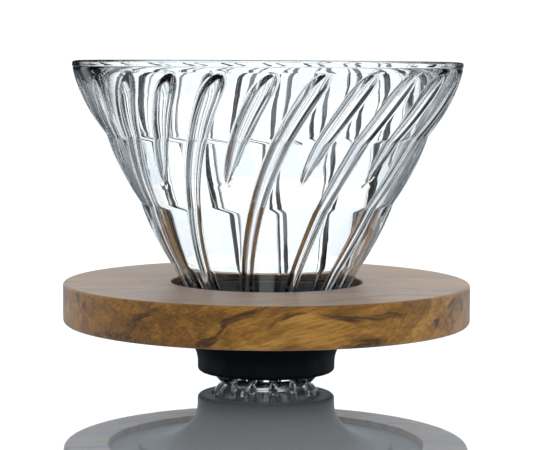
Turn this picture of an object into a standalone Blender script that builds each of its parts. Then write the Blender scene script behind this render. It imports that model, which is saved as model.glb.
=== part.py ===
"""Pour over dripper: a ribbed glass cone that drops into a turned wood collar on a moulded black base.

The part stands on the glass outlet at height zero, with +Z up along the common axis.
Metres throughout. Angles round the axis are measured from -Y towards +X.
"""

import math

import bmesh
import bpy
from mathutils import Vector

MM = 0.001

# Fits
GAP = 0.3 * MM                    # clearance between two pieces that touch
SLIP_GAP = 0.35 * MM              # clearance of the collar's bore round the base's spigot

# Glass cone
OVERALL_HEIGHT = 95.0 * MM
RIM_DIAMETER = 114.6 * MM
RIM_BAND = 1.9 * MM               # upright band round the mouth
RIM_ROUND = 0.75 * MM
WALL = 2.75 * MM                  # wall of the cone, measured level
OUTLET_DIAMETER = 22.6 * MM
NECK_WALL = 4.2 * MM
NECK_HEIGHT = 10.2 * MM           # where the cone runs into the neck
NECK_ROUND_HEIGHT = 3.5 * MM
FOOT_WIDTH = 1.1 * MM             # flat ring that the glass stands on
FOOT_EASE = 0.4 * MM
NECK_BOW = 0.63 * MM              # how far the rounding at the neck's foot swells
LOW_KNEE = 35.5 * MM              # heights at which one tier of the outside changes to the next
MIDDLE_KNEE = 53.5 * MM
HIGH_KNEE = 73.1 * MM
LOW_BOW = 0.78 * MM               # how far the tier above each knee stands off the plain cone
MIDDLE_BOW = 0.95 * MM
HIGH_BOW = 1.5 * MM

# Ribs inside the cone
RIB_COUNT = 24                    # long and short ribs take turns
RIB_LOW_CREST = 1.4 * MM          # how far a rib stands off the wall at the outlet
RIB_HIGH_CREST = 2.2 * MM         # how far a rib stands off the wall at the mouth
RIB_ROOT = 1.0 * MM               # how far a rib is sunk into the wall
RIB_TOP_DROP = 3.3 * MM           # top of a rib below the mouth
RIB_TOP_LENGTH = 6.0 * MM         # rounded upper end of a rib
RIB_INSET = 0.3 * MM              # last section of a rib before its end
LONG_RIB_RISE = 1.2 * MM          # lower end of a long rib above the foot
LONG_RIB_TIP = 3.0 * MM           # rounded lower end of a long rib
SHORT_RIB_LENGTH = 30.0 * MM
SHORT_RIB_TIP = 9.0 * MM          # rounded lower end of a short rib
RIB_NARROW = 2.5 * MM             # width of a rib at the outlet
RIB_WIDE = 7.0 * MM               # width of a rib at the mouth
RIB_TURN = math.radians(61.7)     # sweep of a rib round the axis, first part
RIB_EASE = math.radians(25.5)     # how much the sweep eases towards the outlet
LONG_RIB_START = math.radians(16.3)
RIB_SECTION = ((-0.52, 0), (-0.3, 0.7), (0, 1), (0.3, 0.7), (0.52, 0))   # shares of width and crest

# Wood collar
COLLAR_DIAMETER = 120.0 * MM
COLLAR_THICKNESS = 12.0 * MM
COLLAR_UNDERSIDE = 18.1 * MM      # height of the collar's underside
COLLAR_TOP_ROUND = 0.8 * MM
COLLAR_LOW_ROUND = 1.4 * MM
BORE_MARGIN = 2.75 * MM           # bore's radius over the glass at the collar's top
RECESS_DEPTH = 4.5 * MM
RECESS_MARGIN = 18.5 * MM         # recess's radius over the bore
EDGE_EASE = 0.5 * MM

# Moulded base
PLATE_THICKNESS = 2.7 * MM
SPIGOT_DROP = 2.2 * MM            # top of the spigot below the collar's top
STEP_RADIUS = 37.6 * MM           # edge of the thicker middle of the plate
STEP_RUN = 2.0 * MM               # flat ring between the flare and that edge
STEP_DEPTH = 1.6 * MM
STEM_FOOT = 3.5 * MM              # height of the stem's mouth
STEM_WALL = 2.0 * MM
STEM_STRAIGHT = 2.6 * MM          # upright part of the stem below the flare
STEM_ROUND = 1.2 * MM
LIP_THICKNESS = 1.3 * MM          # inward lip that carries the grommet
BASE_EASE = 0.4 * MM

# Silicone rings
GROMMET_WIDTH = 2.2 * MM
GROMMET_HEIGHT = 4.6 * MM
GROMMET_ROUND = 0.5 * MM
GASKET_WIDTH = 1.5 * MM           # measured level
GASKET_HEIGHT = 8.0 * MM
GASKET_DROP = 0.5 * MM            # top of the gasket below the spigot's top
SILICONE_ROUND = 0.35 * MM

STEPS = 60                        # facets round the axis

RIM_RADIUS = RIM_DIAMETER / 2
OUTLET_RADIUS = OUTLET_DIAMETER / 2
NECK_RADIUS = OUTLET_RADIUS + NECK_WALL
CONE_TOP = OVERALL_HEIGHT - RIM_BAND
CONE_SLOPE = (RIM_RADIUS - NECK_RADIUS) / (CONE_TOP - NECK_HEIGHT)
THROAT = NECK_HEIGHT + (OUTLET_RADIUS + WALL - NECK_RADIUS) / CONE_SLOPE
COLLAR_TOP = COLLAR_UNDERSIDE + COLLAR_THICKNESS
RECESS_TOP = COLLAR_UNDERSIDE + RECESS_DEPTH
PLATE_TOP = RECESS_TOP - GAP
SPIGOT_TOP = COLLAR_TOP - SPIGOT_DROP
RIB_TOP = OVERALL_HEIGHT - RIB_TOP_DROP
RIB_PITCH = math.tau / RIB_COUNT


def cone_radius(height):
    """Radius of the plain cone through the knees of the glass."""
    return NECK_RADIUS + (height - NECK_HEIGHT) * CONE_SLOPE


def inner_radius(height):
    """Radius inside the glass, between ribs."""
    return max(cone_radius(height) - WALL, OUTLET_RADIUS)


BORE_RADIUS = cone_radius(COLLAR_TOP) + BORE_MARGIN
RECESS_RADIUS = BORE_RADIUS + RECESS_MARGIN
GROMMET_RADIUS = NECK_RADIUS + GAP + GROMMET_WIDTH
STEM_BORE = GROMMET_RADIUS + GAP
STEM_RADIUS = STEM_BORE + STEM_WALL
SEAT_MARGIN = GASKET_WIDTH + 2 * GAP
GASKET_TOP = SPIGOT_TOP - GASKET_DROP
GASKET_FOOT = GASKET_TOP - GASKET_HEIGHT


def bowed(start, end, bow, count):
    """Points from start to end on a shallow curve that stands off the straight line by bow."""
    run = Vector(end) - Vector(start)
    side = Vector((run.y, -run.x)).normalized()
    points = []
    for step in range(count + 1):
        share = step / count
        points.append(Vector(start) + run * share + side * (4 * bow * share * (1 - share)))
    return points


def flared(start, end, count):
    """Points on a quarter ellipse that leaves start upright and reaches end level."""
    points = []
    for step in range(count + 1):
        turn = math.pi / 2 * step / count
        across = end[0] - (end[0] - start[0]) * math.cos(turn)
        points.append((across, start[1] + (end[1] - start[1]) * math.sin(turn)))
    return points


def rounded(corners, count=2):
    """Closed outline of (radius, height, rounding) corners, each rounding drawn as an arc."""
    points = []
    total = len(corners)
    for index, (across, height, rounding) in enumerate(corners):
        corner = Vector((across, height))
        if rounding == 0:
            points.append(corner)
            continue
        before = Vector(corners[index - 1][:2]) - corner
        after = Vector(corners[(index + 1) % total][:2]) - corner
        half = before.angle(after) / 2
        reach = rounding / math.tan(half)
        first = corner + before.normalized() * reach
        last = corner + after.normalized() * reach
        halfway = (before.normalized() + after.normalized()).normalized()
        middle = corner + halfway * (rounding / math.sin(half))
        for step in range(count + 1):
            spoke = (first - middle).lerp(last - middle, step / count)
            points.append(middle + spoke.normalized() * rounding)
    return points


def material(name, colour, roughness, transmission=0.0):
    made = bpy.data.materials.new(name)
    made.use_nodes = True
    shader = made.node_tree.nodes["Principled BSDF"]
    shader.inputs["Base Color"].default_value = (*colour, 1.0)
    shader.inputs["Roughness"].default_value = roughness
    shader.inputs["Transmission Weight"].default_value = transmission
    return made


def add_object(name, body, surface):
    """Object made from a bmesh, shaded smooth apart from its edges."""
    bmesh.ops.recalc_face_normals(body, faces=body.faces)
    mesh = bpy.data.meshes.new(name)
    body.to_mesh(mesh)
    body.free()
    mesh.materials.append(surface)
    mesh.shade_smooth()
    mesh.set_sharp_from_angle(angle=math.radians(40))
    made = bpy.data.objects.new(name, mesh)
    bpy.context.collection.objects.link(made)
    return made


def turned(name, outline, surface):
    """Piece turned about the axis from a closed outline of (radius, height) points."""
    body = bmesh.new()
    ring = [body.verts.new((across, 0, height)) for across, height in outline]
    edges = [body.edges.new((ring[index - 1], ring[index])) for index in range(len(ring))]
    bmesh.ops.spin(
        body,
        geom=ring + edges,
        axis=(0, 0, 1),
        cent=(0, 0, 0),
        angle=math.tau,
        steps=STEPS,
        use_merge=True,
    )
    return add_object(name, body, surface)


def rib_angle(height, start):
    """Angle of a rib's middle at a height; every rib leans the same way."""
    share = (RIB_TOP - height) / RIB_TOP
    return start - RIB_TURN * share + RIB_EASE * share * share


def rounding_off(distance, length):
    """Share of its full size that a rib has at a distance from an end rounded over length."""
    share = min(distance / length, 1)
    return math.sqrt(1 - (1 - share) ** 2)


def rib_section(body, height, start, low_end, tip):
    """Level section through a rib: a rounded top on a foot sunk into the wall."""
    up = height / OVERALL_HEIGHT
    size = rounding_off(RIB_TOP - height, RIB_TOP_LENGTH) * rounding_off(height - low_end, tip)
    width = size * (RIB_NARROW + (RIB_WIDE - RIB_NARROW) * up * up)
    crest = size * (RIB_LOW_CREST + (RIB_HIGH_CREST - RIB_LOW_CREST) * up)
    wall = inner_radius(height)
    section = []
    for side, rise in RIB_SECTION:
        angle = rib_angle(height, start) + side * width / wall
        across = wall - rise * crest if rise > 0 else wall + RIB_ROOT
        section.append(body.verts.new((across * math.sin(angle), -across * math.cos(angle), height)))
    return section


def rib_heights(low_end, tip, spans):
    """Heights at which a rib's sections are drawn, closer together at its ends."""
    low = low_end + tip
    high = RIB_TOP - RIB_TOP_LENGTH
    heights = [low_end + RIB_INSET, low_end + tip / 3, RIB_TOP - RIB_TOP_LENGTH / 3, RIB_TOP - RIB_INSET]
    heights += [low + (high - low) * step / spans for step in range(spans + 1)]
    if low < THROAT < high:
        heights.append(THROAT)
    return sorted(heights)


def rib_form(name, start, low_end, tip, spans):
    """One rib lofted through its sections and repeated round the axis by an array."""
    body = bmesh.new()
    heights = rib_heights(low_end, tip, spans)
    sections = [rib_section(body, height, start, low_end, tip) for height in heights]
    for lower, upper in zip(sections, sections[1:]):
        for index in range(len(lower)):
            body.faces.new((lower[index - 1], lower[index], upper[index], upper[index - 1]))
    body.faces.new(sections[0])
    body.faces.new(sections[-1])
    form = add_object(name, body, GLASS)
    form.hide_render = True
    form.display_type = "WIRE"
    array = form.modifiers.new("round_the_axis", "ARRAY")
    array.count = RIB_COUNT // 2
    array.use_relative_offset = False
    array.use_object_offset = True
    array.offset_object = rib_pitch
    return form


for stale in list(bpy.data.objects):
    bpy.data.objects.remove(stale)

GLASS = material("clear_glass", (0.93, 0.96, 0.95), 0.02, 1.0)
WOOD = material("olive_wood", (0.24, 0.13, 0.055), 0.45)
PLASTIC = material("black_plastic", (0.012, 0.012, 0.013), 0.35)
SILICONE = material("grey_silicone", (0.05, 0.05, 0.052), 0.6)

rib_pitch = bpy.data.objects.new("rib_pitch", None)
rib_pitch.rotation_euler.z = 2 * RIB_PITCH
bpy.context.collection.objects.link(rib_pitch)

# Glass cone: outside from the foot up through the tiers, over the rim and down the inside.
foot_outer = OUTLET_RADIUS + FOOT_EASE + FOOT_WIDTH
glass_outline = [(OUTLET_RADIUS + FOOT_EASE, 0)]
glass_outline += bowed((foot_outer, 0), (NECK_RADIUS, NECK_ROUND_HEIGHT), NECK_BOW, 3)
glass_outline += [(NECK_RADIUS, NECK_HEIGHT), (cone_radius(LOW_KNEE), LOW_KNEE)]
tiers = (
    (LOW_KNEE, MIDDLE_KNEE, LOW_BOW),
    (MIDDLE_KNEE, HIGH_KNEE, MIDDLE_BOW),
    (HIGH_KNEE, CONE_TOP, HIGH_BOW),
)
for low, high, bow in tiers:
    glass_outline += bowed((cone_radius(low), low), (cone_radius(high), high), bow, 4)[1:]
rim_inner = RIM_RADIUS - WALL
rim = rounded(
    [
        (RIM_RADIUS, CONE_TOP, 0),
        (RIM_RADIUS, OVERALL_HEIGHT, RIM_ROUND),
        (rim_inner, OVERALL_HEIGHT, RIM_ROUND),
        (rim_inner, CONE_TOP, 0),
    ]
)
glass_outline += rim[1:]
glass_outline += [(OUTLET_RADIUS, THROAT), (OUTLET_RADIUS, FOOT_EASE)]
glass_cone = turned("glass_cone", glass_outline, GLASS)

long_ribs = rib_form("long_rib_form", LONG_RIB_START, LONG_RIB_RISE, LONG_RIB_TIP, 6)
short_rib_end = RIB_TOP - SHORT_RIB_LENGTH
short_ribs = rib_form("short_rib_form", LONG_RIB_START + RIB_PITCH, short_rib_end, SHORT_RIB_TIP, 2)

for form in (long_ribs, short_ribs):
    union = glass_cone.modifiers.new(form.name, "BOOLEAN")
    union.operation = "UNION"
    union.solver = "EXACT"
    union.object = form

# Wood collar: bored for the base's spigot, with a recess underneath for the base's plate.
collar_radius = COLLAR_DIAMETER / 2
wood_collar = turned(
    "wood_collar",
    rounded(
        [
            (BORE_RADIUS, RECESS_TOP, 0),
            (RECESS_RADIUS, RECESS_TOP, 0),
            (RECESS_RADIUS, COLLAR_UNDERSIDE, EDGE_EASE),
            (collar_radius, COLLAR_UNDERSIDE, COLLAR_LOW_ROUND),
            (collar_radius, COLLAR_TOP, COLLAR_TOP_ROUND),
            (BORE_RADIUS, COLLAR_TOP, EDGE_EASE),
        ]
    ),
    WOOD,
)

# Moulded base: stem, flare, stepped plate and spigot outside; gasket rebate and stem bore inside.
plate_radius = RECESS_RADIUS - GAP
plate_foot = PLATE_TOP - PLATE_THICKNESS
spigot_radius = BORE_RADIUS - SLIP_GAP
throat_clear = 2 * GAP
ledge_outer = cone_radius(GASKET_FOOT - GAP) + SEAT_MARGIN
ledge_inner = cone_radius(GASKET_FOOT - GAP) + throat_clear
stem_shoulder = STEM_FOOT + LIP_THICKNESS + GROMMET_HEIGHT + 2 * GAP
step_foot = plate_foot - STEP_DEPTH
flare = flared((STEM_RADIUS, STEM_FOOT + STEM_STRAIGHT), (STEP_RADIUS - STEP_RUN, step_foot), 7)
below_plate = rounded(
    [
        (STEP_RADIUS - STEP_RUN, step_foot, 0),
        (STEP_RADIUS, step_foot, BASE_EASE),
        (STEP_RADIUS, plate_foot, BASE_EASE),
        (plate_radius, plate_foot, BASE_EASE),
        (plate_radius, PLATE_TOP, BASE_EASE),
        (spigot_radius, PLATE_TOP, 0),
        (spigot_radius, SPIGOT_TOP, BASE_EASE),
        (cone_radius(SPIGOT_TOP) + SEAT_MARGIN, SPIGOT_TOP, 0),
        (ledge_outer, GASKET_FOOT - GAP, 0),
        (ledge_inner, GASKET_FOOT - GAP, 0),
        (cone_radius(stem_shoulder) + throat_clear, stem_shoulder, 0),
        (STEM_BORE, stem_shoulder, 0),
        (STEM_BORE, STEM_FOOT + LIP_THICKNESS, 0),
        (NECK_RADIUS + throat_clear, STEM_FOOT + LIP_THICKNESS, 0),
        (NECK_RADIUS + throat_clear, STEM_FOOT, 0),
        (STEM_RADIUS, STEM_FOOT, STEM_ROUND),
        (STEM_RADIUS, STEM_FOOT + STEM_STRAIGHT, 0),
    ]
)
base_hub = turned("base_hub", below_plate[:-1] + flare[:-1], PLASTIC)

# Silicone gasket in the rebate under the cone, and grommet round the neck.
seat_gasket = turned(
    "seat_gasket",
    rounded(
        [
            (cone_radius(GASKET_FOOT) + GAP, GASKET_FOOT, SILICONE_ROUND),
            (cone_radius(GASKET_FOOT) + GAP + GASKET_WIDTH, GASKET_FOOT, SILICONE_ROUND),
            (cone_radius(GASKET_TOP) + GAP + GASKET_WIDTH, GASKET_TOP, SILICONE_ROUND),
            (cone_radius(GASKET_TOP) + GAP, GASKET_TOP, SILICONE_ROUND),
        ],
    ),
    SILICONE,
)
grommet_foot = STEM_FOOT + LIP_THICKNESS + GAP
neck_grommet = turned(
    "neck_grommet",
    rounded(
        [
            (NECK_RADIUS + GAP, grommet_foot, GROMMET_ROUND),
            (GROMMET_RADIUS, grommet_foot, GROMMET_ROUND),
            (GROMMET_RADIUS, grommet_foot + GROMMET_HEIGHT, GROMMET_ROUND),
            (NECK_RADIUS + GAP, grommet_foot + GROMMET_HEIGHT, GROMMET_ROUND),
        ],
    ),
    SILICONE,
)
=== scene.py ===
import math

import bmesh
import bpy
from bpy.props import FloatProperty, FloatVectorProperty, IntProperty, PointerProperty
from mathutils import Euler, Matrix, Vector


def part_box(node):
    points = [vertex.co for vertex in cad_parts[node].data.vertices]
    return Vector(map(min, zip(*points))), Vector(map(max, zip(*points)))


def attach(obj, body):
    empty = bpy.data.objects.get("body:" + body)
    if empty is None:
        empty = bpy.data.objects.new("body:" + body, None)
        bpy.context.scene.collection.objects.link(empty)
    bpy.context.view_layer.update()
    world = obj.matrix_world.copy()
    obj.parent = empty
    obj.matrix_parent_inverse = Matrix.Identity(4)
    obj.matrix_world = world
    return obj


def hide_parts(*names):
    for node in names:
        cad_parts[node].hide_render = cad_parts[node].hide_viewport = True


bl_info = {
    "name": "Pour Over Dripper",
    "version": (1, 0, 0),
    "blender": (4, 5, 0),
    "location": "3D View > Sidebar > Dripper",
    "description": "Ribbed glass dripper in a turned wood collar on a moulded base, and its studio",
    "category": "Add Mesh",
}

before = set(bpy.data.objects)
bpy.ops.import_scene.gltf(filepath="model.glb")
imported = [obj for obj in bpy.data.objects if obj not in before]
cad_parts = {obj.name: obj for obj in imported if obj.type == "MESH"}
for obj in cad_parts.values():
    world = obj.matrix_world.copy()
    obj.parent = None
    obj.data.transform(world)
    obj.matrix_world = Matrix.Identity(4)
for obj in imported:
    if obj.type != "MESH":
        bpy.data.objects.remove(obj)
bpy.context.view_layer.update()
GLASS_LOW, GLASS_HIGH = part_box("glass_cone")
COLLAR_LOW, COLLAR_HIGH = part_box("wood_collar")
HUB_LOW, HUB_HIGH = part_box("base_hub")
GASKET_LOW, GASKET_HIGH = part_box("seat_gasket")
GROMMET_LOW, GROMMET_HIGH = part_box("neck_grommet")
MM = 0.001
GAP = 0.3 * MM                            # clearance between two pieces that touch
GASKET_WIDTH = 1.5 * MM                   # width of the gasket's section, measured level
GASKET_ROUND = 0.35 * MM                  # rounding of the gasket's edges
GROMMET_WIDTH = 2.2 * MM                  # width of the grommet's section
GROMMET_ROUND = 0.5 * MM                  # rounding of the grommet's edges
MOULDED_ROUND = 0.4 * MM                  # rounding of the moulded base's outside edges
MOULDED_EASE = 0.2 * MM                   # rounding of its inside edges


# ------------------------------------------------------------------ settings

def length(name, description, default):
    return FloatProperty(
        name=name, description=description, default=default, min=0, unit="LENGTH", precision=5
    )


def colour(name, description, default):
    return FloatVectorProperty(
        name=name, description=description, default=default, size=3, min=0, max=1, subtype="COLOR"
    )


def angle(name, description, degrees):
    return FloatProperty(
        name=name, description=description, default=math.radians(degrees), subtype="ANGLE"
    )


def power(name, description, watts):
    return FloatProperty(name=name, description=description, default=watts, unit="POWER")


class DripperGlass(bpy.types.PropertyGroup):
    rim_radius: length("Rim radius", "Outside radius of the mouth", GLASS_HIGH.x)
    height: length("Height", "Height of the glass from foot to rim", GLASS_HIGH.z)
    rim_band: length("Rim band", "Height of the upright band round the mouth", 1.9 * MM)
    rim_bead: length("Rim bead", "Depth of the groove under the band", 0.12 * MM)
    rim_round: length("Rim rounding", "Fire-polished rounding of the rim's edges", 0.8 * MM)
    wall: length("Wall", "Thickness of the cone's wall, measured level", 2.75 * MM)
    outlet_radius: length("Outlet radius", "Radius of the hole at the bottom", 11.3 * MM)
    neck_wall: length("Neck wall", "Thickness of the neck's wall", 4.2 * MM)
    neck_height: length("Neck height", "Height at which the cone runs into the neck", 10.2 * MM)
    neck_round: length("Neck rounding", "Height of the rounding at the neck's foot", 3.5 * MM)
    rib_height: length("Rib height", "How far a rib stands off the wall at the mouth", 2.2 * MM)
    rib_low: length("Low rib", "How far a rib stands off the wall at the outlet", 1.4 * MM)
    rib_narrow: length("Narrow rib", "Width of a rib at the outlet", 2.5 * MM)
    rib_wide: length("Wide rib", "Width of a rib at the mouth", 7.0 * MM)
    rib_drop: length("Rib drop", "Distance from the rim to a rib's upper end", 3.3 * MM)
    rib_count: IntProperty(
        name="Ribs", description="Long and short ribs together", default=24, min=2
    )
    rib_start: angle("First rib", "Where the first long rib begins, round from the front", 16.3)
    tint: colour("Tint", "Colour that light takes on in the glass", (0.982, 0.99, 0.986))


class DripperCollar(bpy.types.PropertyGroup):
    radius: length("Radius", "Outside radius of the wood collar", COLLAR_HIGH.x)
    bore_radius: length("Bore radius", "Radius of the hole through the collar", 28.28 * MM)
    recess_radius: length("Recess radius", "Radius of the recess in the underside", 46.78 * MM)
    recess_depth: length("Recess depth", "Depth of the recess in the underside", 4.5 * MM)
    top_round: length("Top rounding", "Rounding of the upper outside edge", 0.8 * MM)
    low_round: length("Low rounding", "Rounding of the lower outside edge", 1.4 * MM)
    ease: length("Ease", "Sanded edge round the bore and the recess", 0.45 * MM)
    palest: colour("Palest wood", "Brightest patches of the ground", (0.36, 0.18, 0.036))
    pale: colour("Pale wood", "Golden ground between the streaks", (0.27, 0.122, 0.019))
    middle: colour("Middle wood", "Common colour of the wood", (0.158, 0.068, 0.0115))
    dark: colour("Dark wood", "Dark mineral streaks", (0.05, 0.022, 0.006))


class DripperBase(bpy.types.PropertyGroup):
    stem_radius: length("Stem radius", "Outside radius of the stem under the collar", 20.3 * MM)
    stem_straight: length("Straight stem", "Upright part of the stem below the flare", 2.6 * MM)
    stem_round: length("Stem rounding", "Rounding of the stem's outer foot", 1.2 * MM)
    plate_radius: length("Plate radius", "Outside radius of the plate in the recess", HUB_HIGH.x)
    plate_foot: length("Plate underside", "Height of the plate's flat underside", 19.6 * MM)
    plate_top: length("Plate top", "Height of the plate's upper face", 22.3 * MM)
    step_radius: length("Step radius", "Radius of the thicker middle of the plate", 37.6 * MM)
    step_run: length("Step run", "Width of the flat ring inside the step", 2.0 * MM)
    step_depth: length("Step depth", "Drop from the plate to the thicker middle", 1.6 * MM)
    spigot_radius: length("Spigot radius", "Outside radius of the ring in the bore", 27.93 * MM)
    black: colour("Moulded black", "Colour of the moulded base", (0.0042, 0.0052, 0.006))
    silicone: colour("Silicone", "Colour of the silicone rings", (0.016, 0.017, 0.018))


class DripperStudio(bpy.types.PropertyGroup):
    floor_radius: length("Floor radius", "Radius of the pale floor", 3.0)
    floor_polish: colour("Polish", "Colour of the floor's mirror", (0.86, 0.93, 1.0))
    floor_colour: colour("Floor", "Colour of the floor under its polish", (0.8, 0.83, 0.86))
    lens: FloatProperty(
        name="Lens", description="Focal length in millimetres on a 36 mm wide frame", default=124.7
    )
    camera_place: FloatVectorProperty(
        name="Camera",
        description="Where the camera stands",
        default=(0, -0.5507, 0.09295),
        subtype="TRANSLATION",
    )
    tilt: angle("Tilt", "How far the camera looks down", 4.81)
    roll: angle("Roll", "How far the camera leans to one side", 0.34)
    key_power: power("Key light", "Power of the large front light", 2.4)
    fill_power: power("Fill light", "Power of the light from the other side", 2.0)
    top_power: power("Top light", "Power of the light overhead", 2.5)


# ------------------------------------------------------------------ outlines

def bowed(start, end, bow, count):
    """Points from start to end on a shallow curve that stands off the straight line by bow."""
    run = Vector(end) - Vector(start)
    side = Vector((run.y, -run.x)).normalized()
    shares = [step / count for step in range(count + 1)]
    return [
        Vector(start) + run * share + side * (4 * bow * share * (1 - share)) for share in shares
    ]


def swept(start, end, count):
    """Points on a quarter ellipse that leaves start upright and reaches end level."""
    across, up = start[0] - end[0], end[1] - start[1]
    turns = [math.pi / 2 * step / count for step in range(count + 1)]
    return [
        Vector((end[0] + across * math.cos(turn), start[1] + up * math.sin(turn))) for turn in turns
    ]


def rounded(corners, count=6, hold=0.15 * MM):
    """Closed outline of (radius, height, rounding) corners, held flat just beyond each arc."""
    points = []
    for index, (across, height, rounding) in enumerate(corners):
        corner = Vector((across, height))
        before = Vector(corners[index - 1][:2]) - corner
        after = Vector(corners[(index + 1) % len(corners)][:2]) - corner
        if rounding == 0:
            points.append(corner)
            continue
        half = before.angle(after) / 2
        reach = rounding / math.tan(half)
        towards, away = before.normalized(), after.normalized()
        middle = corner + (towards + away).normalized() * (rounding / math.sin(half))
        first, last = corner + towards * reach, corner + away * reach
        points.append(first + towards * hold)
        for step in range(count + 1):
            spoke = (first - middle).lerp(last - middle, step / count)
            points.append(middle + spoke.normalized() * rounding)
        points.append(last + away * hold)
    return points


# -------------------------------------------------------------------- pieces

def spun(outline, steps):
    """A bmesh ring turned about the axis from a closed outline of (radius, height) points."""
    body = bmesh.new()
    ring = [body.verts.new((across, 0, height)) for across, height in outline]
    edges = [body.edges.new((ring[index - 1], ring[index])) for index in range(len(ring))]
    bmesh.ops.spin(
        body,
        geom=ring + edges,
        axis=(0, 0, 1),
        cent=(0, 0, 0),
        angle=math.tau,
        steps=steps,
        use_merge=True,
    )
    return body


def finished(name, body, surface, node, rides_on, sharp=40):
    """Object made from a bmesh that stands for a CAD node and rides on its body."""
    bmesh.ops.recalc_face_normals(body, faces=body.faces)
    mesh = bpy.data.meshes.new(name)
    body.to_mesh(mesh)
    body.free()
    mesh.materials.append(surface)
    mesh.shade_smooth()
    mesh.set_sharp_from_angle(angle=math.radians(sharp))
    piece = bpy.data.objects.new(name, mesh)
    bpy.context.scene.collection.objects.link(piece)
    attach(piece, rides_on)
    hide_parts(node)
    return piece


# ----------------------------------------------------------------- materials

class Tree:
    """Short way to add and join shader nodes."""

    def __init__(self, tree):
        self.tree = tree

    def add(self, kind, settings=None, **inputs):
        node = self.tree.nodes.new(kind)
        for name, value in (settings or {}).items():
            setattr(node, name, value)
        for name, value in inputs.items():
            self.join(value, self.socket(node, name))
        return node

    @staticmethod
    def socket(node, name):
        if name[:1] == "i" and name[1:].isdigit():
            return node.inputs[int(name[1:])]
        return node.inputs[name.replace("_", " ")]

    def join(self, value, socket):
        if isinstance(value, bpy.types.NodeSocket):
            self.tree.links.new(value, socket)
        elif isinstance(value, bpy.types.Node):
            self.tree.links.new(value.outputs[0], socket)
        else:
            socket.default_value = value

    def maths(self, operation, first, second=0.0):
        return self.add("ShaderNodeMath", {"operation": operation}, i0=first, i1=second)

    def vectors(self, operation, *values):
        sockets = {f"i{index}": value for index, value in enumerate(values)}
        return self.add("ShaderNodeVectorMath", {"operation": operation}, **sockets)

    def blend(self, first, first_share, second, second_share):
        """Weighted sum of two grey values."""
        return self.maths(
            "ADD",
            self.maths("MULTIPLY", first, first_share),
            self.maths("MULTIPLY", second, second_share),
        )

    def ramp(self, value, stops):
        node = self.add("ShaderNodeValToRGB", Fac=value)
        points = node.color_ramp.elements
        while len(points) < len(stops):
            points.new(0.5)
        for point, (place, shade) in zip(points, stops):
            point.position = place
            point.color = (*shade, 1) if isinstance(shade, tuple) else (shade, shade, shade, 1)
        return node

    def noise(self, where, scale, detail=3.0, roughness=0.5, distortion=0.0):
        return self.add(
            "ShaderNodeTexNoise",
            Vector=where,
            Scale=scale,
            Detail=detail,
            Roughness=roughness,
            Distortion=distortion,
        )

    def bump(self, height, strength, distance):
        return self.add("ShaderNodeBump", Strength=strength, Distance=distance, Height=height)

    def mix(self, factor, first, second, kind="MIX"):
        """Colour between two others."""
        kinds = {"data_type": "RGBA", "blend_type": kind}
        return self.add("ShaderNodeMix", kinds, i0=factor, i6=first, i7=second).outputs[2]

    def choose(self, factor, first, second):
        """Grey value between two others."""
        return self.add("ShaderNodeMix", {"data_type": "FLOAT"}, i0=factor, i2=first, i3=second)


def new_material(name):
    surface = bpy.data.materials.new(name)
    surface.use_nodes = True
    surface.node_tree.nodes.clear()
    tree = Tree(surface.node_tree)
    shader = tree.add("ShaderNodeBsdfPrincipled")
    tree.add("ShaderNodeOutputMaterial", Surface=shader)
    return surface, tree, shader


def fine_texture_group():
    """Group with the fine moulded or sanded texture that several finishes share."""
    found = bpy.data.node_groups.get("fine_texture")
    if found:
        return found
    group = bpy.data.node_groups.new("fine_texture", "ShaderNodeTree")
    for way, names in (("INPUT", ("Scale", "Depth")), ("OUTPUT", ("Height", "Dust"))):
        for name in names:
            group.interface.new_socket(name, in_out=way, socket_type="NodeSocketFloat")
    tree = Tree(group)
    given = tree.add("NodeGroupInput")
    where = tree.add("ShaderNodeTexCoord").outputs["Object"]
    grain = tree.noise(where, given.outputs["Scale"], 4, 0.6)
    cloud = tree.noise(where, 60.0, 3, 0.6)
    specks = tree.noise(where, 2600.0, 2, 0.5)
    speck_mask = tree.ramp(specks, [(0.66, 0.0), (0.72, 1.0)])
    patch = tree.ramp(cloud, [(0.4, 0.0), (0.7, 1.0)])
    dust = tree.maths("MULTIPLY", speck_mask, patch)
    height = tree.maths("MULTIPLY", grain, given.outputs["Depth"])
    tree.add("NodeGroupOutput", Height=height, Dust=dust)
    return group


def fine_texture(tree, scale, depth):
    node = tree.tree.nodes.new("ShaderNodeGroup")
    node.node_tree = fine_texture_group()
    node.inputs["Scale"].default_value = scale
    node.inputs["Depth"].default_value = depth
    return node


def clear_glass():
    settings = bpy.context.scene.dripper_glass
    surface, tree, shader = new_material("clear_glass")
    where = tree.add("ShaderNodeTexCoord").outputs["Object"]
    waves = tree.noise(where, 70.0, 1, 0.4)
    tree.join(tree.bump(waves, 0.03, 0.3 * MM), shader.inputs["Normal"])
    tint = tree.mix(waves, (*settings.tint, 1), (0.99, 0.995, 0.992, 1))
    tree.join(tint, shader.inputs["Base Color"])
    shader.inputs["Roughness"].default_value = 0.0
    shader.inputs["IOR"].default_value = 1.48
    shader.inputs["Metallic"].default_value = 0.0
    shader.inputs["Transmission Weight"].default_value = 1.0
    return surface


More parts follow.
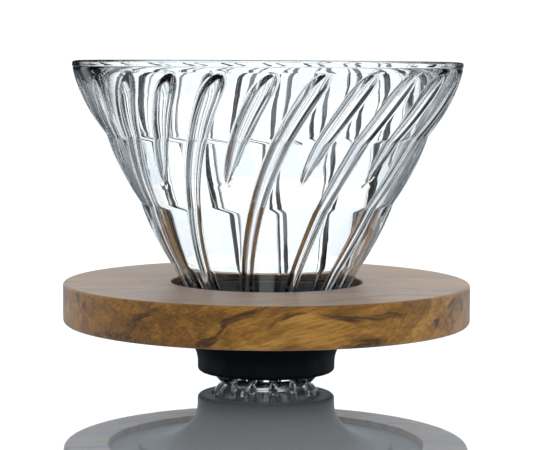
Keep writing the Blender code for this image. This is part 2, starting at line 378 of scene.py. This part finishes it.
def olive_wood():
    settings = bpy.context.scene.dripper_collar
    surface, tree, shader = new_material("olive_wood")
    where = tree.add("ShaderNodeTexCoord").outputs["Object"]
    # The plank's length lies close to X, and its grain swirls and slants across the edge.
    slant = Euler((0.3, math.radians(16), math.radians(-8)))
    plank = tree.add("ShaderNodeMapping", Vector=where, Rotation=slant)
    sway = tree.noise(plank, 14.0, 3, 0.5)
    swayed = tree.vectors("MULTIPLY_ADD", sway.outputs["Color"], (0.02, 0.035, 0.035), plank)
    squeezed = tree.vectors("MULTIPLY", swayed, (0.17, 1.0, 1.0))
    streak = tree.noise(squeezed, 260.0, 5, 0.65, 0.6)
    broad = tree.noise(squeezed, 75.0, 3, 0.55, 0.8)
    figure = tree.blend(streak, 0.45, broad, 0.55)
    middle, pale, palest = tuple(settings.middle), tuple(settings.pale), tuple(settings.palest)
    ground = tree.ramp(figure, [(0.42, middle), (0.53, pale), (0.62, palest)])
    veins = tree.noise(squeezed, 95.0, 5, 0.65, 1.2)
    vein_mask = tree.ramp(veins, [(0.36, 0.95), (0.4, 0.5), (0.45, 0.0)])
    shade = tree.mix(vein_mask, ground, (*settings.dark, 1))
    fibres = tree.noise(tree.vectors("MULTIPLY", plank, (0.05, 1, 1)), 1500.0, 3, 0.6)
    fleck = tree.ramp(fibres, [(0.38, 0.45), (0.6, 1.15)])
    wood = tree.mix(0.6, shade, fleck, "MULTIPLY")
    tree.join(wood, shader.inputs["Base Color"])
    texture = fine_texture(tree, 1200.0, 0.25)
    rough = tree.ramp(tree.blend(fibres, 0.6, figure, 0.4), [(0.3, 0.36), (0.7, 0.52)])
    tree.join(rough, shader.inputs["Roughness"])
    height = tree.maths("ADD", fibres, texture.outputs["Height"])
    tree.join(tree.bump(height, 0.12, 0.15 * MM), shader.inputs["Normal"])
    shader.inputs["Specular IOR Level"].default_value = 0.15
    shader.inputs["Sheen Weight"].default_value = 0.27
    shader.inputs["Sheen Roughness"].default_value = 0.45
    return surface


def moulded_black():
    settings = bpy.context.scene.dripper_base
    surface, tree, shader = new_material("moulded_black")
    texture = fine_texture(tree, 2200.0, 0.5)
    tone = tree.mix(texture.outputs["Dust"], (*settings.black, 1), (0.05, 0.05, 0.052, 1))
    tree.join(tone, shader.inputs["Base Color"])
    rough = tree.ramp(texture.outputs["Dust"], [(0.0, 0.42), (1.0, 0.7)])
    tree.join(rough, shader.inputs["Roughness"])
    tree.join(tree.bump(texture.outputs["Height"], 0.1, 0.1 * MM), shader.inputs["Normal"])
    shader.inputs["Specular IOR Level"].default_value = 0.06
    return surface


def silicone_rubber():
    found = bpy.data.materials.get("silicone_rubber")
    if found:
        return found
    settings = bpy.context.scene.dripper_base
    surface, tree, shader = new_material("silicone_rubber")
    texture = fine_texture(tree, 1400.0, 0.7)
    tone = tree.mix(texture.outputs["Dust"], (*settings.silicone, 1), (0.09, 0.09, 0.09, 1))
    tree.join(tone, shader.inputs["Base Color"])
    tree.join(tree.bump(texture.outputs["Height"], 0.15, 0.1 * MM), shader.inputs["Normal"])
    shader.inputs["Roughness"].default_value = 0.6
    return surface


# ----------------------------------------------------------------- operators

KNEES = (0.305, 0.522, 0.759)             # share of the cone's height at each change of tier
BOWS = (0.78 * MM, 0.95 * MM, 1.5 * MM)   # how far each tier stands off the plain cone
RIB_TURN = math.radians(61.7)             # sweep of a rib round the axis, first part
RIB_EASE = math.radians(25.5)             # how much the sweep eases towards the outlet
SHORT_RIB_END = 61.7 * MM                 # height at which a short rib ends
RIB_TOP_LENGTH = 6.0 * MM                 # length of a rib's rounded upper end
RIB_TIP_LENGTH = 9.0 * MM                 # length of a short rib's rounded lower end
RIB_TIP_NARROWS = 16.0 * MM               # length over which a short rib narrows to that end
RIB_TIP_WIDTH = 0.62                      # share of its width that is left there
RIB_TIP_FADE = 1.6                        # how soon its height comes back above the tip
RIB_FOOT = 1.0 * MM                       # height at which a long rib starts
RIB_FOOT_LENGTH = 2.0 * MM                # height over which it rises to its full height
RIB_FULLNESS = 0.9                        # 0.5 is a round section; more is more pointed
RIB_SHARE = 0.8                           # share of the inside columns that lie across a rib
INSIDE_COLUMNS = 24                       # columns to each rib on the inside
OUTSIDE_COLUMNS = 8                       # columns to each rib on the outside
FINE_ROW = 0.4 * MM                       # height of a row of faces at a rib's ends
KNEE_ROW = 0.3 * MM                       # height of a row at a knee
ROW = 1.3 * MM                            # height of a row elsewhere
FOOT_EDGE = 1.5 * MM                      # outer edge of the foot beyond the outlet


def softened(level, height, reach):
    """Mean of a radius over a short height, which rounds off a corner in it."""
    steps = [reach * k / 4 for k in range(-4, 5)]
    return sum(level(height + step) for step in steps) / len(steps)


class GlassShape:
    """Radii of the glass at any height, and the relief of its ribs."""

    def __init__(self, settings):
        self.s = settings
        self.neck_radius = settings.outlet_radius + settings.neck_wall
        self.cone_top = settings.height - settings.rim_band
        tall = self.cone_top - settings.neck_height
        self.slope = (settings.rim_radius - self.neck_radius) / tall
        self.knees = [settings.neck_height + share * tall for share in (*KNEES, 1.0)]
        self.rib_top = settings.height - settings.rib_drop
        self.pitch = math.tau / settings.rib_count

    def cone(self, height):
        return self.neck_radius + (height - self.s.neck_height) * self.slope

    def outer(self, height):
        height = min(height, self.cone_top)
        radius = max(self.cone(height), self.neck_radius)
        for low, high, bow in zip(self.knees, self.knees[1:], BOWS):
            if low < height < high:
                share = (height - low) / (high - low)
                radius += 4 * bow * share * (1 - share)
        return radius

    def inner(self, height):
        return max(self.cone(height) - self.s.wall, self.s.outlet_radius)

    def lean(self, height):
        share = (self.rib_top - height) / self.rib_top
        return -RIB_TURN * share + RIB_EASE * share * share

    def rib_plan(self, height, is_long):
        """Half width of a rib at a height, and its height off the wall along its middle line."""
        share = height / self.s.height
        half = (self.s.rib_narrow + (self.s.rib_wide - self.s.rib_narrow) * share * share) / 2
        crest = self.s.rib_low + (self.s.rib_height - self.s.rib_low) * share
        into_top = (self.rib_top - height) / RIB_TOP_LENGTH
        into_tip = (height - SHORT_RIB_END) / RIB_TIP_LENGTH
        if into_top <= 0 or (into_tip <= 0 and not is_long):
            return half, 0.0
        round_top = math.sqrt(1 - (1 - min(into_top, 1)) ** 2)
        if is_long:
            into_foot = (height - RIB_FOOT) / RIB_FOOT_LENGTH
            return half * round_top, crest * round_top**2 * min(1.0, max(0.0, into_foot))
        round_tip = math.sqrt(1 - (1 - min(into_tip, 1)) ** 2)
        along = min(1.0, (height - SHORT_RIB_END) / RIB_TIP_NARROWS)
        narrowing = RIB_TIP_WIDTH + (1 - RIB_TIP_WIDTH) * along
        fade = math.sin(math.pi / 2 * min(1.0, into_tip * RIB_TIP_FADE))
        return half * round_top * round_tip * narrowing, crest * round_top**2 * fade


class DRIPPER_OT_glass_cone(bpy.types.Operator):
    """Model the glass cone with its tiers, ribs, rim and outlet"""

    bl_idname = "dripper.glass_cone"
    bl_label = "Glass cone"

    def execute(self, context):
        settings = context.scene.dripper_glass
        shape = GlassShape(settings)
        body = bmesh.new()
        inside = self.wall(body, self.inside_line(settings, shape), 2 * INSIDE_COLUMNS, shape)
        for vert in inside:
            self.raise_rib(vert, shape)
        outside = self.wall(body, self.outside_line(settings, shape), 2 * OUTSIDE_COLUMNS, shape)
        for vert in inside + outside:
            turn = Matrix.Rotation(settings.rib_start + shape.lean(vert.co.z), 3, "Z")
            vert.co = turn @ vert.co
        for chain in self.level_chains(body, settings.neck_height):
            bmesh.ops.bridge_loops(body, edges=chain)
        bmesh.ops.recalc_face_normals(body, faces=body.faces)
        pair = body.verts[:] + body.edges[:] + body.faces[:]
        for turn in range(1, settings.rib_count // 2):
            copy = bmesh.ops.duplicate(body, geom=pair)["geom"]
            moved = [item for item in copy if isinstance(item, bmesh.types.BMVert)]
            onward = Matrix.Rotation(2 * turn * shape.pitch, 3, "Z")
            bmesh.ops.rotate(body, verts=moved, matrix=onward)
        bmesh.ops.remove_doubles(body, verts=body.verts, dist=0.001 * MM)
        finished(
            "glass_cone_clear", body, clear_glass(), "glass_cone", "cone", sharp=80
        )
        return {"FINISHED"}

    @staticmethod
    def wall(body, line, columns, shape):
        """One side of the glass, as wide as a long and a short rib, spun from a line of points."""
        start = Matrix.Rotation(-shape.pitch / 2, 3, "Z")
        verts = [body.verts.new(start @ Vector((0, -across, height))) for across, height in line]
        edges = [body.edges.new(pair) for pair in zip(verts, verts[1:])]
        kept = set(body.verts) - set(verts)
        bmesh.ops.spin(
            body,
            geom=verts + edges,
            axis=(0, 0, 1),
            cent=(0, 0, 0),
            angle=2 * shape.pitch,
            steps=columns,
        )
        return [vert for vert in body.verts if vert not in kept]

    @staticmethod
    def level_chains(body, middle):
        """Open edges that run round the axis, at the rim and at the foot."""
        rows = []
        for edge in body.edges:
            first, last = edge.verts
            if edge.is_boundary and abs(first.co.length - last.co.length) < 0.001 * MM:
                rows.append(edge)
        for is_upper in (True, False):
            yield [edge for edge in rows if (edge.verts[0].co.z > middle) == is_upper]

    @staticmethod
    def outside_line(settings, shape):
        """Outside of the glass from the foot up over the rim's outer edge."""
        foot = settings.outlet_radius + FOOT_EDGE
        points = [Vector((foot - 0.3 * MM, 0))]
        neck = (shape.neck_radius, settings.neck_round)
        points += bowed((foot, 0), neck, 0.18 * settings.neck_round, 10)
        height = settings.neck_round + 0.9 * MM
        while height < shape.cone_top - 0.4 * MM:
            near = min(abs(height - level) for level in shape.knees)
            points.append(Vector((softened(shape.outer, height, 0.6 * MM), height)))
            height += KNEE_ROW if near < ROW else ROW
        groove = settings.rim_radius - settings.rim_bead
        points.append(Vector((groove, shape.cone_top - 0.2 * MM)))
        rim = rounded(
            [
                (settings.rim_radius, shape.cone_top, 0.25 * MM),
                (settings.rim_radius, settings.height, settings.rim_round),
                (settings.rim_radius - settings.wall, settings.height, settings.rim_round),
                (settings.rim_radius - settings.wall, shape.cone_top, 0),
            ]
        )
        crest = settings.rim_radius - settings.wall / 2
        return points + [point for point in rim[1:] if point.x > crest]

    @staticmethod
    def inside_line(settings, shape):
        """Inside of the glass from the outlet up over the rim's inner edge."""
        outlet = settings.outlet_radius
        points = [Vector((outlet + 0.45 * MM, 0.02 * MM)), Vector((outlet + 0.12 * MM, 0.12 * MM))]
        points += [Vector((outlet, step * FINE_ROW)) for step in range(1, 9)]
        height = settings.neck_round
        while height < shape.cone_top:
            points.append(Vector((softened(shape.inner, height, 1.5 * MM), height)))
            in_top = shape.rib_top - RIB_TOP_LENGTH < height < shape.rib_top + 0.3 * MM
            in_tip = SHORT_RIB_END - 0.5 * MM < height < SHORT_RIB_END + 5 * MM
            height += FINE_ROW if in_top or in_tip else ROW
        inner = settings.rim_radius - settings.wall
        rim = rounded(
            [
                (inner, shape.cone_top, 0),
                (settings.rim_radius, shape.cone_top, 0),
                (settings.rim_radius, settings.height, settings.rim_round),
                (inner, settings.height, settings.rim_round),
            ]
        )
        crest = inner + settings.wall / 2
        return points + [point for point in reversed(rim[3:]) if point.x < crest]

    @staticmethod
    def raise_rib(vert, shape):
        """Draw the columns in towards the nearest rib and raise its relief."""
        radius = math.hypot(vert.co.x, vert.co.y)
        around = math.atan2(vert.co.x, -vert.co.y)
        cell = 0 if around < shape.pitch / 2 else 1
        local = around - cell * shape.pitch
        half, crest = shape.rib_plan(vert.co.z, cell == 0)
        full, _ = shape.rib_plan(min(vert.co.z, shape.rib_top - RIB_TOP_LENGTH), True)
        edge = min(max(half, 0.3 * full) / radius, 0.46 * shape.pitch)
        share = abs(local) / (shape.pitch / 2)
        if share <= RIB_SHARE:
            wide = edge * math.sin(math.pi / 2 * share / RIB_SHARE)
        else:
            wide = edge + (shape.pitch / 2 - edge) * (share - RIB_SHARE) / (1 - RIB_SHARE)
        if crest and wide * radius < half:
            radius -= crest * (1 - (wide * radius / half) ** 2) ** RIB_FULLNESS
        around = cell * shape.pitch + math.copysign(wide, local)
        vert.co.x, vert.co.y = radius * math.sin(around), -radius * math.cos(around)


class DRIPPER_OT_wood_collar(bpy.types.Operator):
    """Model the turned wood collar with its bore and the recess underneath"""

    bl_idname = "dripper.wood_collar"
    bl_label = "Wood collar"

    def execute(self, context):
        settings = context.scene.dripper_collar
        low, high = COLLAR_LOW.z, COLLAR_HIGH.z
        outline = rounded(
            [
                (settings.bore_radius, low + settings.recess_depth, 0.3 * MM),
                (settings.recess_radius, low + settings.recess_depth, 0.8 * MM),
                (settings.recess_radius, low, settings.ease),
                (settings.radius, low, settings.low_round),
                (settings.radius, high, settings.top_round),
                (settings.bore_radius, high, settings.ease),
            ]
        )
        body = spun(outline, 240)
        finished("wood_collar_turned", body, olive_wood(), "wood_collar", "collar")
        return {"FINISHED"}


def glass_line(height):
    """Radius of the plain glass cone at a height, which the base's seat follows."""
    return GlassShape(bpy.context.scene.dripper_glass).cone(height)


class DRIPPER_OT_base_hub(bpy.types.Operator):
    """Model the moulded base with its stem, flare, stepped plate and spigot"""

    bl_idname = "dripper.base_hub"
    bl_label = "Moulded base"

    def execute(self, context):
        settings = context.scene.dripper_base
        foot, top = HUB_LOW.z, HUB_HIGH.z
        glass = context.scene.dripper_glass
        neck = glass.outlet_radius + glass.neck_wall
        ledge = GASKET_LOW.z - GAP
        lip = GROMMET_LOW.z - GAP
        shoulder = GROMMET_HIGH.z + GAP
        straight = foot + settings.stem_straight
        step_foot = settings.plate_foot - settings.step_depth
        flare_end = settings.step_radius - settings.step_run
        flare = swept((settings.stem_radius, straight), (flare_end, step_foot), 24)
        outline = rounded(
            [
                (flare_end, step_foot, 0),
                (settings.step_radius, step_foot, MOULDED_ROUND),
                (settings.step_radius, settings.plate_foot, MOULDED_ROUND),
                (settings.plate_radius, settings.plate_foot, MOULDED_ROUND),
                (settings.plate_radius, settings.plate_top, MOULDED_ROUND),
                (settings.spigot_radius, settings.plate_top, 0),
                (settings.spigot_radius, top, MOULDED_ROUND),
                (glass_line(top) + GASKET_WIDTH + 2 * GAP, top, MOULDED_EASE),
                (glass_line(ledge) + GASKET_WIDTH + 2 * GAP, ledge, 0),
                (glass_line(ledge) + 2 * GAP, ledge, MOULDED_EASE),
                (glass_line(shoulder) + 2 * GAP, shoulder, MOULDED_EASE),
                (GROMMET_HIGH.x + GAP, shoulder, 0),
                (GROMMET_HIGH.x + GAP, lip, 0),
                (neck + 2 * GAP, lip, MOULDED_EASE),
                (neck + 2 * GAP, foot, 0.3 * MM),
                (settings.stem_radius, foot, settings.stem_round),
                (settings.stem_radius, straight, 0),
            ]
        )
        body = spun(outline[:-1] + flare[:-1], 180)
        finished("base_hub_moulded", body, moulded_black(), "base_hub", "base")
        return {"FINISHED"}


class DRIPPER_OT_silicone_rings(bpy.types.Operator):
    """Model the gasket under the cone and the grommet round the neck"""

    bl_idname = "dripper.silicone_rings"
    bl_label = "Silicone rings"

    def execute(self, context):
        foot, top = GASKET_LOW.z, GASKET_HIGH.z
        low, high = glass_line(foot) + GAP, glass_line(top) + GAP
        self.ring(
            "seat_gasket",
            [
                (low, foot),
                (low + GASKET_WIDTH, foot),
                (high + GASKET_WIDTH, top),
                (high, top),
            ],
            GASKET_ROUND,
        )
        outer = GROMMET_HIGH.x
        inner = outer - GROMMET_WIDTH
        foot, top = GROMMET_LOW.z, GROMMET_HIGH.z
        self.ring(
            "neck_grommet",
            [(inner, foot), (outer, foot), (outer, top), (inner, top)],
            GROMMET_ROUND,
        )
        return {"FINISHED"}

    @staticmethod
    def ring(node, corners, rounding):
        body = spun(rounded([(*corner, rounding) for corner in corners]), 120)
        finished(f"{node}_soft", body, silicone_rubber(), node, "base")


class DRIPPER_OT_studio(bpy.types.Operator):
    """Make the pale floor, the soft lights, the backdrop light and the camera"""

    bl_idname = "dripper.studio"
    bl_label = "Studio"

    def execute(self, context):
        settings = context.scene.dripper_studio
        self.floor(settings)
        self.surroundings(context)
        target = Vector((0, 0, 0.04))
        self.soft_box("key_light", (-0.55, -0.75, 0.55), (0.5, 0.5), settings.key_power, target)
        self.soft_box("fill_light", (0.75, -0.45, 0.35), (0.4, 0.6), settings.fill_power, target)
        self.soft_box("top_light", (0.1, 0.35, 0.9), (0.8, 0.5), settings.top_power, target)
        self.camera(context, settings)
        context.scene.view_settings.view_transform = "Standard"
        return {"FINISHED"}

    @staticmethod
    def floor(settings):
        body = bmesh.new()
        bmesh.ops.create_circle(body, cap_ends=True, segments=96, radius=settings.floor_radius)
        mesh = bpy.data.meshes.new("studio_floor")
        body.to_mesh(mesh)
        body.free()
        surface = bpy.data.materials.new("pale_floor")
        surface.use_nodes = True
        surface.node_tree.nodes.clear()
        tree = Tree(surface.node_tree)
        ray = tree.add("ShaderNodeLightPath").outputs["Is Camera Ray"]
        soften = tree.maths("MULTIPLY", ray, 0.02)
        gloss = (*settings.floor_polish, 1)
        polish = tree.add("ShaderNodeBsdfGlossy", Color=gloss, Roughness=soften)
        matt = tree.add("ShaderNodeBsdfDiffuse", Color=(*settings.floor_colour, 1))
        facing = tree.add("ShaderNodeLayerWeight", Blend=0.5).outputs["Facing"]
        shallow = tree.ramp(facing, [(0.6, 0.1), (0.76, 0.78)])
        share = tree.choose(ray, 0.78, shallow)
        both = tree.add("ShaderNodeMixShader", i0=share, i1=matt, i2=polish)
        below = tree.add("ShaderNodeNewGeometry").outputs["Backfacing"]
        clear = tree.add("ShaderNodeBsdfTransparent")
        one_sided = tree.add("ShaderNodeMixShader", i0=below, i1=both, i2=clear)
        tree.add("ShaderNodeOutputMaterial", Surface=one_sided)
        mesh.materials.append(surface)
        floor = bpy.data.objects.new("studio_floor", mesh)
        bpy.context.scene.collection.objects.link(floor)

    @staticmethod
    def surroundings(context):
        """White backdrop on four sides, with dark cards between them for the glass to show."""
        world = bpy.data.worlds.new("studio_light")
        context.scene.world = world
        world.use_nodes = True
        world.node_tree.nodes.clear()
        tree = Tree(world.node_tree)
        way = tree.add("ShaderNodeTexCoord").outputs["Generated"]
        split = tree.add("ShaderNodeSeparateXYZ", Vector=way)
        height = split.outputs["Z"]
        side = tree.maths("ABSOLUTE", split.outputs["X"])
        front = tree.maths("ABSOLUTE", split.outputs["Y"])
        squares = [tree.maths("MULTIPLY", part, part) for part in (side, front)]
        level = tree.maths("MAXIMUM", tree.maths("SQRT", tree.maths("ADD", *squares)), 0.001)
        facing = tree.maths("DIVIDE", tree.maths("MAXIMUM", side, front), level)
        cards = [(0.707, 1.0), (0.745, 0.88), (0.8, 0.05), (0.96, 0.05), (0.975, 1.3)]
        panel = tree.ramp(facing, cards)
        rise = tree.ramp(height, [(0.0, 1.0), (0.3, 1.0), (0.39, 0.1), (0.5, 0.15), (0.64, 0.85)])
        through = tree.maths("MULTIPLY", panel, rise)
        low = tree.ramp(height, [(0.0, 1.1), (0.4, 1.1), (0.6, 0.85)])
        mirrored = tree.maths("MULTIPLY", panel, low)
        sharp = tree.ramp(height, [(0.0, 1.5), (0.5, 1.5), (0.9, 1.0)])
        ray = tree.add("ShaderNodeLightPath").outputs
        polished = tree.choose(ray["Is Singular Ray"], sharp, mirrored)
        soft = tree.choose(ray["Is Glossy Ray"], 0.7, polished)
        bent = tree.choose(ray["Is Transmission Ray"], soft, through)
        strength = tree.choose(ray["Is Camera Ray"], bent, 1.05)
        shade = tree.mix(strength, (0.72, 0.88, 1.0, 1), (1, 1, 1, 1))
        light = tree.add("ShaderNodeBackground", Color=shade, Strength=strength)
        tree.add("ShaderNodeOutputWorld", Surface=light)

    @staticmethod
    def soft_box(name, place, size, power, target):
        data = bpy.data.lights.new(name, "AREA")
        data.shape = "RECTANGLE"
        data.size, data.size_y = size
        data.energy = power
        lamp = bpy.data.objects.new(name, data)
        lamp.location = place
        lamp.rotation_euler = (target - Vector(place)).to_track_quat("-Z", "Y").to_euler()
        lamp.visible_camera = False
        lamp.visible_glossy = False
        lamp.visible_transmission = False
        bpy.context.scene.collection.objects.link(lamp)

    @staticmethod
    def camera(context, settings):
        data = bpy.data.cameras.new("camera")
        data.sensor_width = 36
        data.lens = settings.lens
        data.shift_x, data.shift_y = 0.00567, 0.00065
        data.clip_start = 0.01
        camera = bpy.data.objects.new("camera", data)
        camera.location = settings.camera_place
        camera.rotation_euler = (math.radians(90) - settings.tilt, 0, 0)
        camera.rotation_euler.rotate_axis("Z", settings.roll)
        context.scene.collection.objects.link(camera)
        context.scene.camera = camera


STEPS_IN_ORDER = (
    ("glass_cone", "MESH_CONE"),
    ("wood_collar", "MESH_TORUS"),
    ("base_hub", "MESH_CYLINDER"),
    ("silicone_rings", "MESH_CIRCLE"),
    ("studio", "LIGHT_AREA"),
)


class DRIPPER_PT_sidebar(bpy.types.Panel):
    """Buttons that model each piece of the dripper and its studio"""

    bl_label = "Pour Over Dripper"
    bl_space_type = "VIEW_3D"
    bl_region_type = "UI"
    bl_category = "Dripper"

    def draw(self, context):
        for step, icon in STEPS_IN_ORDER:
            self.layout.operator(f"dripper.{step}", icon=icon)
        for group in ("dripper_glass", "dripper_collar", "dripper_base", "dripper_studio"):
            box = self.layout.box()
            settings = getattr(context.scene, group)
            for name in settings.__annotations__:
                box.prop(settings, name)


SETTINGS = (
    ("dripper_glass", DripperGlass),
    ("dripper_collar", DripperCollar),
    ("dripper_base", DripperBase),
    ("dripper_studio", DripperStudio),
)
OPERATORS = (
    DRIPPER_OT_glass_cone,
    DRIPPER_OT_wood_collar,
    DRIPPER_OT_base_hub,
    DRIPPER_OT_silicone_rings,
    DRIPPER_OT_studio,
)
CLASSES = (*[group for name, group in SETTINGS], *OPERATORS, DRIPPER_PT_sidebar)


def register():
    for each in CLASSES:
        bpy.utils.register_class(each)
    for name, group in SETTINGS:
        setattr(bpy.types.Scene, name, PointerProperty(type=group))


def unregister():
    for name, group in SETTINGS:
        delattr(bpy.types.Scene, name)
    for each in reversed(CLASSES):
        bpy.utils.unregister_class(each)


def main():
    register()
    for step, icon in STEPS_IN_ORDER:
        getattr(bpy.ops.dripper, step)()


if __name__ == "__main__":
    main()
